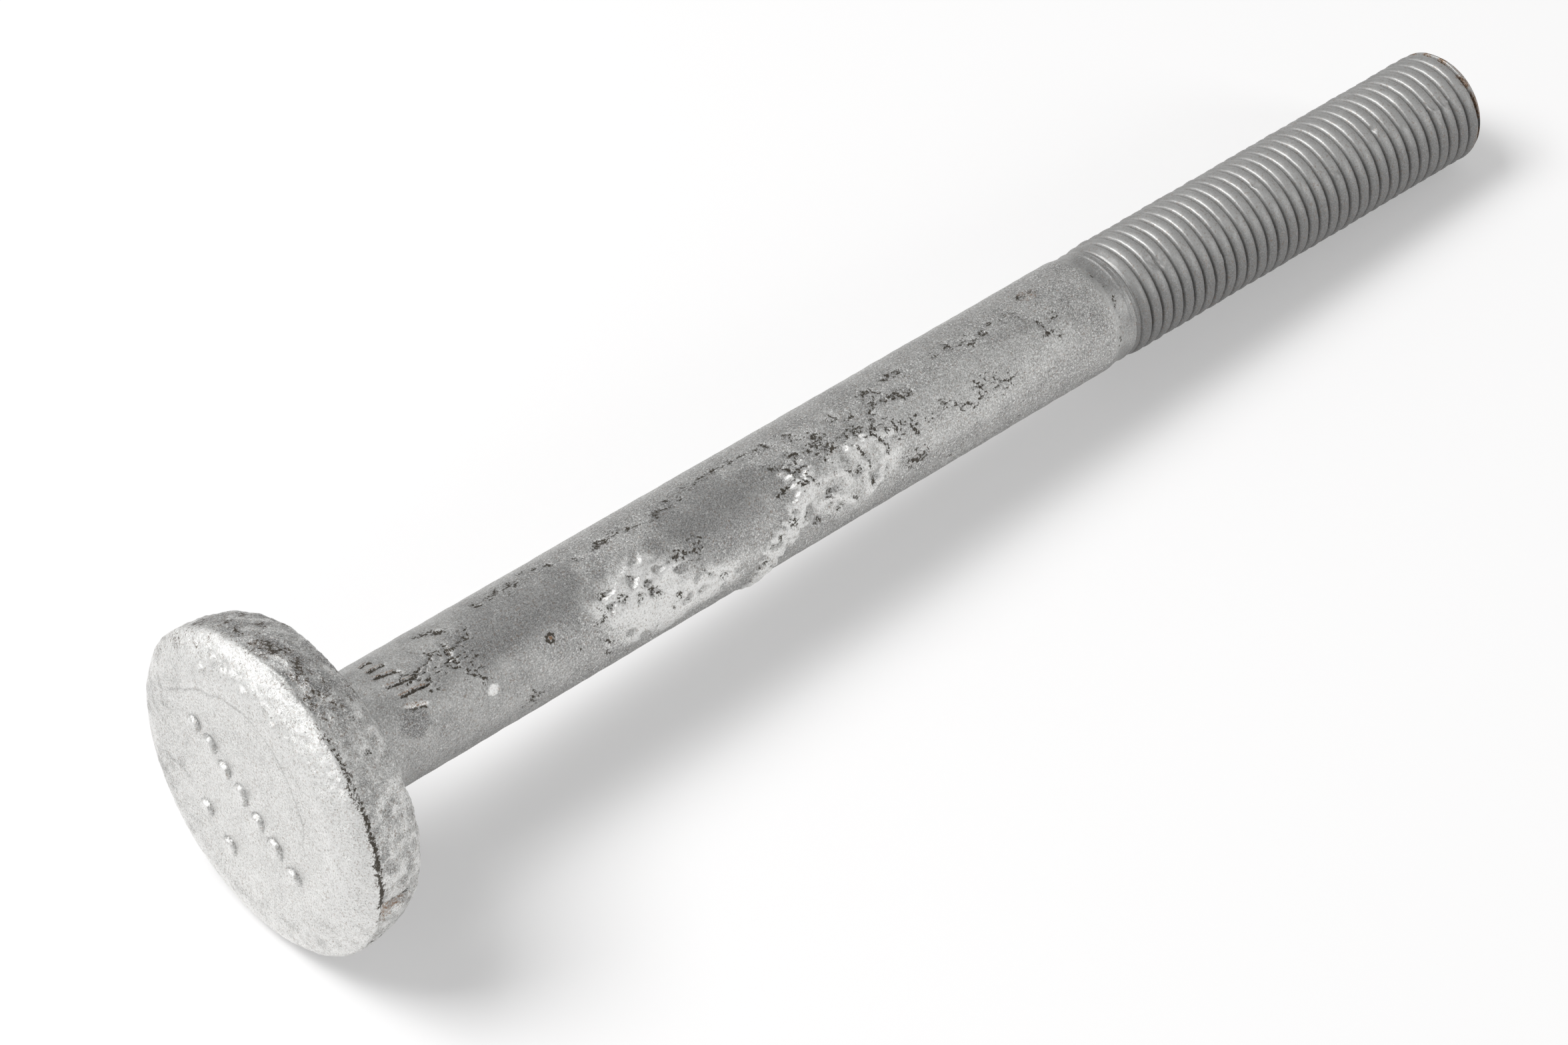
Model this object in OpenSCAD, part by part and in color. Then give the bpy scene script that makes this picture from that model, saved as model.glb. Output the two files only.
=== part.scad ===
// Heavy round-headed bolt, hot-dip galvanised, lying on its side.
// The bolt is drawn upright with the head's underside at height 0 and the thread
// pointing up, then laid down so that the head's rim and the thread's end touch the floor.

/* [Head] */
// Diameter of the head at its widest line
head_d = 55.5; // [46:0.5:62]
// Height of the soft shoulder between the face and the widest line
shoulder_h = 3.6; // [2:0.1:5]
// Width of the soft shoulder, measured inwards from the widest line
shoulder_w = 7.2; // [4:0.2:10]
// Rise of the crowned face at its middle
crown_h = 0.8; // [0.2:0.1:2]
// Height of the rim band behind the widest line
rim_h = 6.8; // [4:0.2:10]
// Inward lean of the rim band over its height
rim_draft = 0.9; // [0.2:0.1:2]
// Rounding of the rim band into the underside
back_round = 2.7; // [1:0.1:4]

/* [Shank] */
// Length from the underside of the head to the end of the thread
bolt_len = 250; // [200:5:300]
// Diameter of the plain shank
shank_d = 20.2; // [19:0.1:21]
// Fillet between the head's underside and the shank
fillet_r = 1.6; // [0.6:0.1:3]

/* [Neck before the thread] */
// Diameter of the short neck between shank and thread
neck_d = 19.4; // [18:0.1:20]
// Length of the plain neck
neck_len = 2; // [1:0.5:6]
// Length of the taper from the shank down to the neck
taper_len = 4; // [2:0.5:8]

/* [Thread] */
// Outer diameter of the thread over its zinc
thread_d = 20.2; // [19.6:0.1:21]
// Length of the thread with its run-out
thread_len = 85; // [50:1:110]
// Distance between neighbouring crests
pitch = 2.5; // [2:0.25:3.5]
// Depth of the groove between two crests
groove_depth = 1.4; // [0.8:0.1:1.8]
// Drop from the top of a crest to its rounded sides
crest_round = 0.22; // [0.1:0.02:0.4]
// Length over which the groove fades in from the neck
run_out = 3.75; // [2:0.25:8]
// Height of the chamfer at the thread's end
tip_chamfer_h = 2.1; // [1:0.1:4]
// Depth of the chamfer at the thread's end
tip_chamfer_w = 1.5; // [1:0.1:3]

/* [Hidden] */

zinc_grey = [0.66, 0.68, 0.69];
arc_steps = 12;
thread_cols = 32;
lines_per_turn = 4;

head_r = head_d / 2;
shank_r = shank_d / 2;
neck_r = neck_d / 2;
thread_r = thread_d / 2;

// Heights along the bolt, counted from the head's underside
widest_z = -(rim_h + back_round);
face_edge_z = widest_z - shoulder_h;
thread_z = bolt_len - thread_len;
neck_z = thread_z - neck_len;
taper_z = neck_z - taper_len;
chamfer_z = bolt_len - tip_chamfer_h;

face_r = head_r - shoulder_w;
rim_back_r = head_r - rim_draft;
under_r = rim_back_r - back_round;
tip_r = thread_r - tip_chamfer_w;

// The seat of the thread is a hair wider than its first ring, so the two never share an edge
seat_step = 0.06;
thread_start_r = neck_r - seat_step;

// Lying down: the floor touches the widest line of the head and the last full crest
lean = atan((head_r - thread_r) / (chamfer_z - widest_z));
lift = head_r * cos(lean) + widest_z * sin(lean);

// A quarter of an ellipse from angle a0 to a1, as radius and height pairs
function quarter(mid_r, mid_z, half_r, half_z, a0, a1) =
    [for (i = [0 : arc_steps])
        let (a = a0 + (a1 - a0) * i / arc_steps)
        [mid_r + half_r * cos(a), mid_z + half_z * sin(a)]];

// The crowned face, from its middle to its edge, as a shallow parabola
face_line = [for (i = [0 : arc_steps])
    let (u = i / arc_steps)
    [face_r * u, face_edge_z - crown_h * (1 - u * u)]];

shoulder_line = quarter(face_r, widest_z, shoulder_w, shoulder_h, -90, 0);
back_line = quarter(under_r, -back_round, back_round, back_round, 0, 90);

head_outline = concat(face_line, shoulder_line, back_line, [[0, 0]]);

// How far the bolt reaches along the floor, for placing its middle on the origin
function along_floor(p) = p[1] * cos(lean) - p[0] * sin(lean);
reach_low = min([for (p = head_outline) along_floor(p)]);
reach_high = along_floor([-tip_r, bolt_len]);
reach_mid = (reach_low + reach_high) / 2;

// Thread geometry. A line of the surface runs round the bolt as a helix: line n passes
// column j at a height that grows by one pitch a turn. Lines come in groups of four:
// crest, side, root, side.
groove_drop = [0, crest_round, groove_depth, crest_round];
first_turn = ceil((chamfer_z - thread_z) / pitch) + 1;
extra_turns = ceil(tip_chamfer_h / pitch) + 1;
line_count = lines_per_turn * (first_turn + extra_turns);

function line_z(j, n) =
    chamfer_z + pitch * (j / thread_cols + n / lines_per_turn - first_turn);

function fade(z) = max(0, min(1, (z - thread_z) / run_out));
function tip_limit(z) = thread_r - tip_chamfer_w * max(0, z - chamfer_z) / tip_chamfer_h;

function thread_radius(z, n) =
    let (full = thread_r - groove_drop[n % lines_per_turn])
    min(tip_limit(z), thread_start_r + (full - thread_start_r) * fade(z));

function ring_point(r, j, z) = [r * cos(360 * j / thread_cols), r * sin(360 * j / thread_cols), z];

// Points: the start ring, the end ring, then one column of line points after another
thread_points = concat(
    [for (j = [0 : thread_cols - 1]) ring_point(thread_start_r, j, thread_z)],
    [for (j = [0 : thread_cols - 1]) ring_point(tip_r, j, bolt_len)],
    [for (j = [0 : thread_cols - 1], n = [0 : line_count])
        let (z = line_z(j, n))
        ring_point(thread_radius(z, n), j, z)]);

// A line that leaves the thread's length is gathered into the ring at that end
function point_at(j, n) =
    j == thread_cols ? point_at(0, n + lines_per_turn) :
    n > line_count || line_z(j, n) >= bolt_len ? thread_cols + j :
    line_z(j, n) <= thread_z ? j :
    2 * thread_cols + j * (line_count + 1) + n;

function is_real(t) = t[0] != t[1] && t[1] != t[2] && t[2] != t[0];

thread_sides = [for (j = [0 : thread_cols - 1], n = [0 : line_count - 1])
    let (a = point_at(j, n), b = point_at(j + 1, n),
         c = point_at(j + 1, n + 1), d = point_at(j, n + 1))
    for (t = [[a, c, b], [a, d, c]])
        if (is_real(t)) t];

start_cap = [[for (j = [0 : thread_cols - 1]) j]];
end_cap = [[for (j = [thread_cols - 1 : -1 : 0]) thread_cols + j]];

module turned(outline) {
    rotate_extrude($fn = 96) polygon(outline);
}

module head() {
    turned(head_outline);
}

// The shank with the fillet under the head, the taper and the neck
module shank() {
    fillet_line = [for (i = [0 : arc_steps])
        let (a = 90 * i / arc_steps)
        [shank_r + fillet_r * (1 - sin(a)), fillet_r * (1 - cos(a))]];
    turned(concat(
        [[0, -back_round]],
        [[shank_r + fillet_r, -back_round]],
        fillet_line,
        [[shank_r, taper_z], [neck_r, neck_z], [neck_r, thread_z], [0, thread_z]]));
}

module thread() {
    polyhedron(points = thread_points, faces = concat(thread_sides, start_cap, end_cap),
        convexity = 10);
}

module lying() {
    translate([-reach_mid, 0, lift]) rotate([0, 90 + lean, 0]) children();
}

// One forging: head, shank and thread are a single solid
module bolt() {
    color(zinc_grey) lying() union() {
        head();
        shank();
        thread();
    }
}

bolt();
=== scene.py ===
import math
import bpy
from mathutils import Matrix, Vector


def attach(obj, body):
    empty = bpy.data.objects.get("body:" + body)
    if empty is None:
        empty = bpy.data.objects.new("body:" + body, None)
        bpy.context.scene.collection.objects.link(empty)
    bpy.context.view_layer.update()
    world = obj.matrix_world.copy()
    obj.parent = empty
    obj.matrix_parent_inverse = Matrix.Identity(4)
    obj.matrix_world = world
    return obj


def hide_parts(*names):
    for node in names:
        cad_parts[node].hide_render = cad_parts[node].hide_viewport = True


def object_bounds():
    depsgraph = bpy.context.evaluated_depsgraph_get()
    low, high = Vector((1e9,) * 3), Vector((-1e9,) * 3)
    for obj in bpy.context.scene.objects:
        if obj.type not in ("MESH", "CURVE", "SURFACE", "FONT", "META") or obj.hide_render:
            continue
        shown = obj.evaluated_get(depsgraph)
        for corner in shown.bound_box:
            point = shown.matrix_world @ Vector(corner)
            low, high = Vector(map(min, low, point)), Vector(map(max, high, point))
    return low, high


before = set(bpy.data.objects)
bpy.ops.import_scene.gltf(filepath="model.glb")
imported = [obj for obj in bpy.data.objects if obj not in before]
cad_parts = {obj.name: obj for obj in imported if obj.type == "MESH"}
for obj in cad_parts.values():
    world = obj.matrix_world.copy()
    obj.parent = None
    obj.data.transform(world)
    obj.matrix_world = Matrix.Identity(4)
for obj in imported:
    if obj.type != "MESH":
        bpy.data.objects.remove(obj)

from types import SimpleNamespace

import bpy
import numpy as np
from mathutils import Matrix, Vector

CAD_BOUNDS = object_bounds()
MM = 0.001

# Sizes of the bolt in millimetres, the same as in the solid
HEAD_R = 27.75
SHOULDER_H = 3.6
SHOULDER_W = 7.2
CROWN_H = 0.8
RIM_H = 6.8
RIM_DRAFT = 0.9
BACK_ROUND = 2.7
BOLT_LEN = 250.0
SHANK_R = 10.1
FILLET_R = 1.6
NECK_R = 9.7
THREAD_R = 10.1
THREAD_LEN = 85.0
NECK_LEN = 2.0
TAPER_LEN = 4.0
PITCH = 2.5
GROOVE_DEPTH = 1.4
RUN_OUT = 3.75
TIP_CHAMFER_H = 2.1
TIP_CHAMFER_W = 1.5

# Heights along the bolt, counted from the head's underside
WIDEST_Z = -(RIM_H + BACK_ROUND)
FACE_EDGE_Z = WIDEST_Z - SHOULDER_H
FACE_R = HEAD_R - SHOULDER_W
RIM_BACK_R = HEAD_R - RIM_DRAFT
UNDER_R = RIM_BACK_R - BACK_ROUND
THREAD_Z = BOLT_LEN - THREAD_LEN
NECK_Z = THREAD_Z - NECK_LEN
TAPER_Z = NECK_Z - TAPER_LEN
CHAMFER_Z = BOLT_LEN - TIP_CHAMFER_H
TIP_R = THREAD_R - TIP_CHAMFER_W

# How the bolt lies: on the head's widest line and the last full crest
LEAN = math.atan((HEAD_R - THREAD_R) / (CHAMFER_Z - WIDEST_Z))
LIFT = HEAD_R * math.cos(LEAN) + WIDEST_Z * math.sin(LEAN)
ALONG = np.array([math.cos(LEAN), 0.0, -math.sin(LEAN)])
DOWN = np.array([-math.sin(LEAN), 0.0, -math.cos(LEAN)])
ACROSS = np.array([0.0, 1.0, 0.0])

# The middle of its reach along the floor is over the origin
REACH_LOW = (WIDEST_Z * math.cos(LEAN) - FACE_R * math.sin(LEAN)
             - math.hypot(SHOULDER_H * math.cos(LEAN), SHOULDER_W * math.sin(LEAN)))
REACH_HIGH = BOLT_LEN * math.cos(LEAN) + TIP_R * math.sin(LEAN)
UNDERSIDE = np.array([-(REACH_LOW + REACH_HIGH) / 2, 0.0, LIFT])

# Density of the meshes: columns round the bolt, rings along its outline
HEAD_COLS = 440
FACE_RINGS = 84
SHOULDER_RINGS = 42
BACK_RINGS = 54
UNDER_RINGS = 30
SHANK_COLS = 220
SHANK_RINGS = 430
FILLET_RINGS = 14
NECK_RINGS = 52
THREAD_COLS = 176
LINES_PER_TURN = 16
TIP_RINGS = 14
# The shank's columns gather round this angle, on the side with the finest marks
FINE_SIDE = 215.0
FINE_SIDE_GAIN = 0.3

# Grit of the most even coat, where 1 is full grain
EVEN_GRIT = 0.12


# Noise

HASH_STEPS = np.array([374761393, 668265263, 2147483647], dtype=np.uint32)
HASH_MIXERS = np.array([1274126177, 2246822519], dtype=np.uint32)
SEED_STEP = 144269
SEED_START = 97
NOISE_DIRECTIONS = np.array([
    (1, 1, 0), (-1, 1, 0), (1, -1, 0), (-1, -1, 0), (1, 0, 1), (-1, 0, 1),
    (1, 0, -1), (-1, 0, -1), (0, 1, 1), (0, -1, 1), (0, 1, -1), (0, -1, -1)], dtype=float)


def lattice_hash(cells, seed):
    """A repeatable whole number for every cell of a 3D lattice."""
    c = cells.astype(np.int64).astype(np.uint32)
    h = c[..., 0] * HASH_STEPS[0] + c[..., 1] * HASH_STEPS[1]
    h = h + c[..., 2] * HASH_STEPS[2] + np.uint32(seed * SEED_STEP + SEED_START)
    h = (h ^ (h >> np.uint32(13))) * HASH_MIXERS[0]
    h = (h ^ (h >> np.uint32(16))) * HASH_MIXERS[1]
    return h ^ (h >> np.uint32(15))


def hash_byte(h, number):
    """One of a hash's four bytes, between 0 and 1."""
    return ((h >> np.uint32(8 * number)) & np.uint32(255)) / 255.0


def noise(points, size, seed):
    """Smooth noise between about -1 and 1 whose lumps are about size millimetres wide."""
    spot = points / size
    base = np.floor(spot)
    part = spot - base
    ease = part * part * part * (part * (part * 6 - 15) + 10)
    total = np.zeros(points.shape[:-1])
    for corner in np.ndindex(2, 2, 2):
        step = np.array(corner)
        pick = lattice_hash(base + step, seed) % np.uint32(len(NOISE_DIRECTIONS))
        slope = NOISE_DIRECTIONS[pick]
        share = np.prod(np.where(step == 1, ease, 1 - ease), axis=-1)
        total += share * np.sum(slope * (part - step), axis=-1)
    return total


def layered(points, size, seed, layers=3):
    """Noise with finer and weaker noise laid on top."""
    total = np.zeros(points.shape[:-1])
    for layer in range(layers):
        total += noise(points, size / 2 ** layer, seed + layer * 17) / 2 ** layer
    return total


def smooth(low, high, value):
    """A soft step from 0 at low to 1 at high. It falls where high is the lower one."""
    t = np.clip((value - low) / (high - low), 0, 1)
    return t * t * (3 - 2 * t)


def pores(points, size, seed, share, width):
    """1 at the middle of scattered pores, 0 between them. Share is the part of cells with one."""
    spot = points / size
    base = np.floor(spot)
    result = np.zeros(points.shape[:-1])
    for corner in np.ndindex(3, 3, 3):
        cell = base + np.array(corner) - 1
        h = lattice_hash(cell, seed)
        centre = cell + np.stack([hash_byte(h, axis) for axis in range(3)], axis=-1)
        rank = hash_byte(h, 3)
        reach = width * (0.5 + 0.5 * rank / share)
        distance = np.linalg.norm(spot - centre, axis=-1)
        pore = np.clip(1 - distance / np.maximum(reach, 1e-6), 0, 1)
        result = np.maximum(result, np.where(rank < share, pore, 0))
    return result


def veins(points, size, seed, thin=0.15):
    """1 along thin wandering lines, 0 between them."""
    line = smooth(thin, 0.3 * thin, np.abs(noise(points, size, seed)))
    return line * smooth(-0.45, -0.05, noise(points, 1.7 * size, seed + 7))


def pebbles(points, size, seed):
    """Rounded lumps with narrow hollows between them, about -1 to 1."""
    fold = 1 - 2.2 * np.abs(noise(points, size, seed))
    return fold + 0.5 * noise(points, size / 2.3, seed + 3)


# Grids round the bolt, and where marks lie on them


def make_grid(radius, z, phi):
    """Points by radius, height and angle in degrees, with their plain coordinates for the noise."""
    a = np.radians(phi)
    points = np.stack([radius * np.cos(a), radius * np.sin(a), z], axis=-1)
    return SimpleNamespace(radius=radius, z=z, phi=phi, points=points)


def turned_grid(line_r, line_z, turns):
    """The grid that an outline sweeps, with its outward normals."""
    phi = turns[None, :] + np.zeros((len(line_r), 1))
    grid = make_grid(line_r[:, None] + np.zeros_like(phi), line_z[:, None] + np.zeros_like(phi), phi)
    run_r, run_z = np.gradient(line_r), np.gradient(line_z)
    length = np.maximum(np.hypot(run_r, run_z), 1e-9)
    grid.normal_r = (run_z / length)[:, None]
    grid.normal_z = (-run_r / length)[:, None]
    return grid


def turn_gap(phi, phi0):
    """The angle from phi0 to phi in degrees, between -180 and 180."""
    return (phi - phi0 + 180.0) % 360.0 - 180.0


def arc_share(grid, arc):
    """1 on an arc, given as start, end and softness in degrees, and 0 beyond it."""
    start, end, soft = arc
    half = (end - start) / 2
    return smooth(half + soft, half - soft, np.abs(turn_gap(grid.phi, (start + end) / 2)))


def region(grid, centre, half_z, half_turn, seed, feather=0.45):
    """1 inside an uneven oval patch round a height and angle, 0 outside it."""
    oval = np.hypot((grid.z - centre[0]) / half_z, turn_gap(grid.phi, centre[1]) / half_turn)
    oval = oval + 0.35 * layered(grid.points, 5.0, seed)
    return smooth(1.0 + feather / 2, 1.0 - feather / 2, oval)


def patches(grid, places, seed, feather=0.45):
    """1 inside any of the places, 0 outside them."""
    return np.max([region(grid, *place, seed + number, feather)
                   for number, place in enumerate(places)], axis=0)


def path_distance(z, phi, path, radius):
    """Distance over a round surface to a path of height and angle points."""
    phi0 = path[0][1]
    across = np.radians(turn_gap(phi, phi0)) * radius
    nodes = [(pz, math.radians(turn_gap(pphi, phi0)) * radius) for pz, pphi in path]
    nearest = np.hypot(z - nodes[0][0], across - nodes[0][1])
    for (z0, a0), (z1, a1) in zip(nodes, nodes[1:]):
        run_z, run_a = z1 - z0, a1 - a0
        length2 = max(run_z * run_z + run_a * run_a, 1e-9)
        t = np.clip(((z - z0) * run_z + (across - a0) * run_a) / length2, 0, 1)
        gap = np.hypot(z - z0 - t * run_z, across - a0 - t * run_a)
        nearest = np.minimum(nearest, gap)
    return nearest


def ragged_path(grid, path, width, seed, radius=SHANK_R, gaps=None, shift=(0.0, 0.0)):
    """1 along a path with ragged edges. Gaps break it up, shift is a height and an angle."""
    distance = path_distance(grid.z - shift[0], grid.phi - shift[1], path, radius)
    near = distance < 2.2 * width
    share = np.zeros(grid.z.shape)
    edge = width * (1 + 0.9 * noise(grid.points[near], 1.1, seed))
    share[near] = smooth(1.0, 0.35, distance[near] / np.maximum(edge, 0.05))
    if gaps:
        share[near] *= smooth(gaps[0], gaps[1], noise(grid.points[near], 1.3, seed + 500))
    return share


def pack_wear_and_shade(dark, bright, rust, dull_and_shade):
    """The four kinds of wear, with their painted light and shade, as one colour for each point."""
    return np.stack(np.broadcast_arrays(dark, bright, rust, dull_and_shade), axis=-1)


# Meshes


def place(radius, z, phi):
    """Points in the scene, in metres, from radius, height and angle on the bolt."""
    a = np.radians(phi)[..., None]
    outward = DOWN * np.cos(a) + ACROSS * np.sin(a)
    return (UNDERSIDE + ALONG * z[..., None] + outward * radius[..., None]) * MM


def grid_faces(rings, cols):
    """Quads of a closed ring grid, ring after ring."""
    i, j = np.meshgrid(np.arange(rings - 1), np.arange(cols), indexing="ij")
    k = (j + 1) % cols
    quads = np.stack([i * cols + j, i * cols + k, (i + 1) * cols + k, (i + 1) * cols + j], -1)
    return quads.reshape(-1, 4)


def add_object(name, data):
    """An object of the scene with this mesh, light or camera."""
    thing = bpy.data.objects.new(name, data)
    bpy.context.scene.collection.objects.link(thing)
    return thing


def make_piece(name, points, faces, wear_and_shade, grit, material):
    """A smooth mesh with its wear, painted light and shade, and grit, held inside the solid's box, that
    stands for the solid.
    """
    mesh = bpy.data.meshes.new(name)
    points = np.clip(points, np.array(CAD_BOUNDS[0]), np.array(CAD_BOUNDS[1]))
    mesh.from_pydata(points.tolist(), [], faces)
    mesh.update()
    mesh.validate()
    layer = mesh.attributes.new("wear_and_shade", "FLOAT_COLOR", "POINT")
    layer.data.foreach_set("color", wear_and_shade.astype(np.float32).ravel())
    layer = mesh.attributes.new("grit", "FLOAT", "POINT")
    layer.data.foreach_set("value", grit.astype(np.float32))
    mesh.shade_smooth()
    mesh.set_sharp_from_angle(angle=math.radians(70))
    mesh.materials.append(material)
    piece = add_object(name, mesh)
    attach(piece, "root")
    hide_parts("bolt")


def turned_piece(name, grid, lift, wear_and_shade, grit, material):
    """A turned surface pushed out by lift, closed by a middle point at each end."""
    height = grid.z + lift * grid.normal_z
    points = place(grid.radius + lift * grid.normal_r, height, grid.phi).reshape(-1, 3)
    middles = place(np.zeros(2), np.array([height[0].mean(), height[-1].mean()]), np.zeros(2))
    rings, cols = grid.radius.shape
    faces = grid_faces(rings, cols).tolist()
    first, last = rings * cols, rings * cols + 1
    low = first - cols
    for j in range(cols):
        k = (j + 1) % cols
        faces.extend([(first, k, j), (last, low + j, low + k)])
    wear_and_shade = np.vstack([wear_and_shade.reshape(-1, 4), np.zeros((2, 4))])
    grit = np.concatenate([grit.ravel(), np.ones(2)])
    make_piece(name, np.vstack([points, middles]), faces, wear_and_shade, grit, material)


# Head

# Plain round pips on the face: down and across from the middle, and radius
FACE_PIPS = [
    (-6.9, 12.6, 1.15), (-5.6, 8.6, 1.35), (-3.4, 4.9, 1.25), (-1.2, 0.9, 1.4), (1.5, -3.0, 1.25),
    (4.2, -7.0, 1.4), (7.0, -11.0, 1.3), (8.9, 9.6, 1.2), (13.0, 4.5, 1.35)]
PIP_HEIGHT = 0.75
# The face lies this much lower than the solid's, so that the pips stay inside its box
FACE_SINK = 0.4
# Lumps of zinc on the shoulder: angle, distance in from the widest line, size
SHOULDER_LUMPS = [
    (160, 3.2, 1.0), (167, 4.4, 0.9), (172, 3.6, 1.1), (179, 5.0, 0.8), (184, 3.4, 0.7),
    (152, 5.2, 0.9), (197, 5.6, 0.7)]
LUMP_HEIGHT = 0.42
# The edge of a thicker run of zinc over the face: angle and distance from the middle
FLOW_LINE = [
    (112, 21.6), (129, 18.9), (151, 17.8), (170, 18.1), (184, 17.9), (200, 17.0), (232, 15.0),
    (262, 13.6)]
FLOW_HEIGHT = 0.17
# Width of the painted shadow line at the edge of the run
FLOW_SHADOW_WIDTH = 0.32
# The seam between shoulder and rim lies a little nearer the face than the widest line
SEAM_RISE = 0.35
SEAM_DEPTH = 0.26
SEAM_WIDTH = 0.55
SEAM_REACH = 3.5
RIM_STEP = 0.10
# Marks on the rim: height along the bolt, angle and size
RIM_MARK_R = 27.3
RIM_SPOTS = [(-5, 223, 1.1), (-6.1, 197, 0.7), (-4.1, 211.7, 0.5)]
RIM_SPOT_DEPTH = 0.2
RIM_CHIP = ((-8.2, 278.5), 3.0, 4.2)
RIM_CHIP_DEPTH = 0.55
RIM_CHIP_EDGE = [(-8.6, 274.5), (-4.4, 276.0)]
RIM_CRACK = [(-9.9, 298.0), (-5.5, 305.0)]
RIM_CRACK_DEPTH = 0.15
HEAD_PORE_DEPTH = 0.2

# Stretches of the head's turn, as start, end and softness in degrees
ROUGH_SHOULDER = (150, 310, 30)
RIPPLED_SHOULDER = (195, 310, 20)
# A stretch of the shoulder painted lighter: painted light on its rough zinc
SHOULDER_PAINTED_LIGHT = (140, 295, 25)
FLAKY_SHOULDER = (222, 292, 12)
DEEP_SEAM = (212, 279, 6)
DEEPEST_SEAM = (240, 279, 14)
WHOLE_SEAM = (214, 262, 10)
STAINED_RIM = (138, 205, 14)
LIGHT_RIM = (235, 320, 15)
DULL_RIM = (120, 205, 20)
STAINED_FRONT = (105, 175, 12)
SMUDGED_FACE = (35, 112, 15)


def head_outline():
    """The head's outline: face, shoulder, rim and underside."""
    u = np.linspace(0.01, 1, FACE_RINGS)
    face_r = FACE_R * u
    face_z = FACE_EDGE_Z - CROWN_H * (1 - u * u)
    a = np.radians(np.linspace(-90, 0, SHOULDER_RINGS)[1:])
    shoulder_r = FACE_R + SHOULDER_W * np.cos(a)
    shoulder_z = WIDEST_Z + SHOULDER_H * np.sin(a)
    a = np.radians(np.linspace(0, 90, BACK_RINGS)[1:])
    back_r = UNDER_R + (HEAD_R - UNDER_R) * np.cos(a)
    back_z = WIDEST_Z * (1 - np.sin(a))
    under_r = np.linspace(UNDER_R, SHANK_R - 1, UNDER_RINGS)[1:]
    under_z = np.zeros(under_r.shape)
    return (np.concatenate([face_r, shoulder_r, back_r, under_r]),
            np.concatenate([face_z, shoulder_z, back_z, under_z]))


def head_zones(grid):
    """1 on the head's front, shoulder, rim and underside in turn."""
    front = smooth(WIDEST_Z - 0.2, WIDEST_Z - 1.2, grid.z)
    shoulder = front * smooth(FACE_R - 3.0, FACE_R + 1.5, grid.radius)
    rim = smooth(WIDEST_Z - 0.6, WIDEST_Z + 0.4, grid.z)
    rim = rim * smooth(UNDER_R - 0.5, UNDER_R + 0.5, grid.radius)
    back = smooth(-0.3, -0.05, grid.z)
    return SimpleNamespace(front=front, shoulder=shoulder, rim=rim, back=back)


def face_pips(grid, front, wobble):
    """The pips: how far they stand out, their bright tops and their dark feet, partly grime and partly
    painted shade.
    """
    lift, bright, foot_grime_and_shade = np.zeros((3,) + grid.z.shape)
    for down, across, size in FACE_PIPS:
        gap = np.hypot(grid.points[..., 0] - down, grid.points[..., 1] - across) * wobble / size
        lift += PIP_HEIGHT * smooth(1.2, 0.88, gap) * front
        bright += smooth(1.15, 0.9, gap) * front
        foot_grime_and_shade = np.maximum(foot_grime_and_shade, smooth(1.45, 1.2, gap) * smooth(0.95, 1.15, gap) * front)
    return lift, bright, foot_grime_and_shade


def shoulder_lumps(grid, front, wobble):
    """The lumps of zinc on the shoulder: how far they stand out, and their dark feet, partly grime and
    partly painted shade.
    """
    lift, foot_grime_and_shade = np.zeros((2,) + grid.z.shape)
    for angle, inset, size in SHOULDER_LUMPS:
        down = (HEAD_R - inset) * math.cos(math.radians(angle))
        across = (HEAD_R - inset) * math.sin(math.radians(angle))
        gap = np.hypot(grid.points[..., 0] - down, grid.points[..., 1] - across) * wobble / size
        lift += LUMP_HEIGHT * smooth(1.2, 0.4, gap) * front
        foot_grime_and_shade = np.maximum(foot_grime_and_shade, smooth(1.5, 1.2, gap) * smooth(0.95, 1.15, gap) * front)
    return lift, foot_grime_and_shade


def zinc_flow(grid, front):
    """The run of zinc over the face: how far it stands out, and the painted shadow line at its edge."""
    angles, radii = zip(*FLOW_LINE)
    edge = np.interp(grid.phi, angles, radii) + 0.7 * noise(grid.points, 5.0, seed=42)
    along = arc_share(grid, (angles[0], angles[-1], 10)) * front
    lift = FLOW_HEIGHT * smooth(-0.2, 0.2, grid.radius - edge) * along
    return lift, along * np.exp(-((grid.radius - edge) / FLOW_SHADOW_WIDTH) ** 2)


def rim_seam(grid):
    """The seam between shoulder and rim, and the ragged step down to the rim."""
    ring_points = grid.points * (1, 1, 0)
    wander = 0.45 * noise(ring_points, 7.0, seed=13) + 0.25 * noise(ring_points, 2.0, seed=15)
    above = grid.z - (WIDEST_Z - SEAM_RISE + wander)
    outside = grid.radius > HEAD_R - SEAM_REACH
    depth = 0.2 + 0.45 * arc_share(grid, DEEP_SEAM) + 0.35 * arc_share(grid, DEEPEST_SEAM)
    whole = noise(grid.points, 2.4, seed=16) + 0.5 * arc_share(grid, WHOLE_SEAM)
    width = np.maximum(SEAM_WIDTH + 0.38 * noise(grid.points, 1.6, seed=20), 0.15)
    seam = np.exp(-(above / width) ** 2) * depth * smooth(-0.35, 0.1, whole) * outside
    return seam, smooth(-0.3, 0.3, above) * outside


def rim_marks(grid, rim):
    """The chipped facet low on the rim, the cracks beside it and the small dents."""
    chip = region(grid, *RIM_CHIP, seed=17) * rim
    spots = np.zeros(grid.z.shape)
    for number, (z, phi, size) in enumerate(RIM_SPOTS):
        spot = ragged_path(grid, [(z, phi)], size, 240 + number, RIM_MARK_R)
        spots = np.maximum(spots, spot)
    chip_edge = ragged_path(grid, RIM_CHIP_EDGE, width=0.4, seed=18, radius=RIM_MARK_R)
    low_crack = ragged_path(grid, RIM_CRACK, width=0.35, seed=19, radius=RIM_MARK_R)
    return chip, spots, np.maximum(chip_edge, low_crack)


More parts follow.
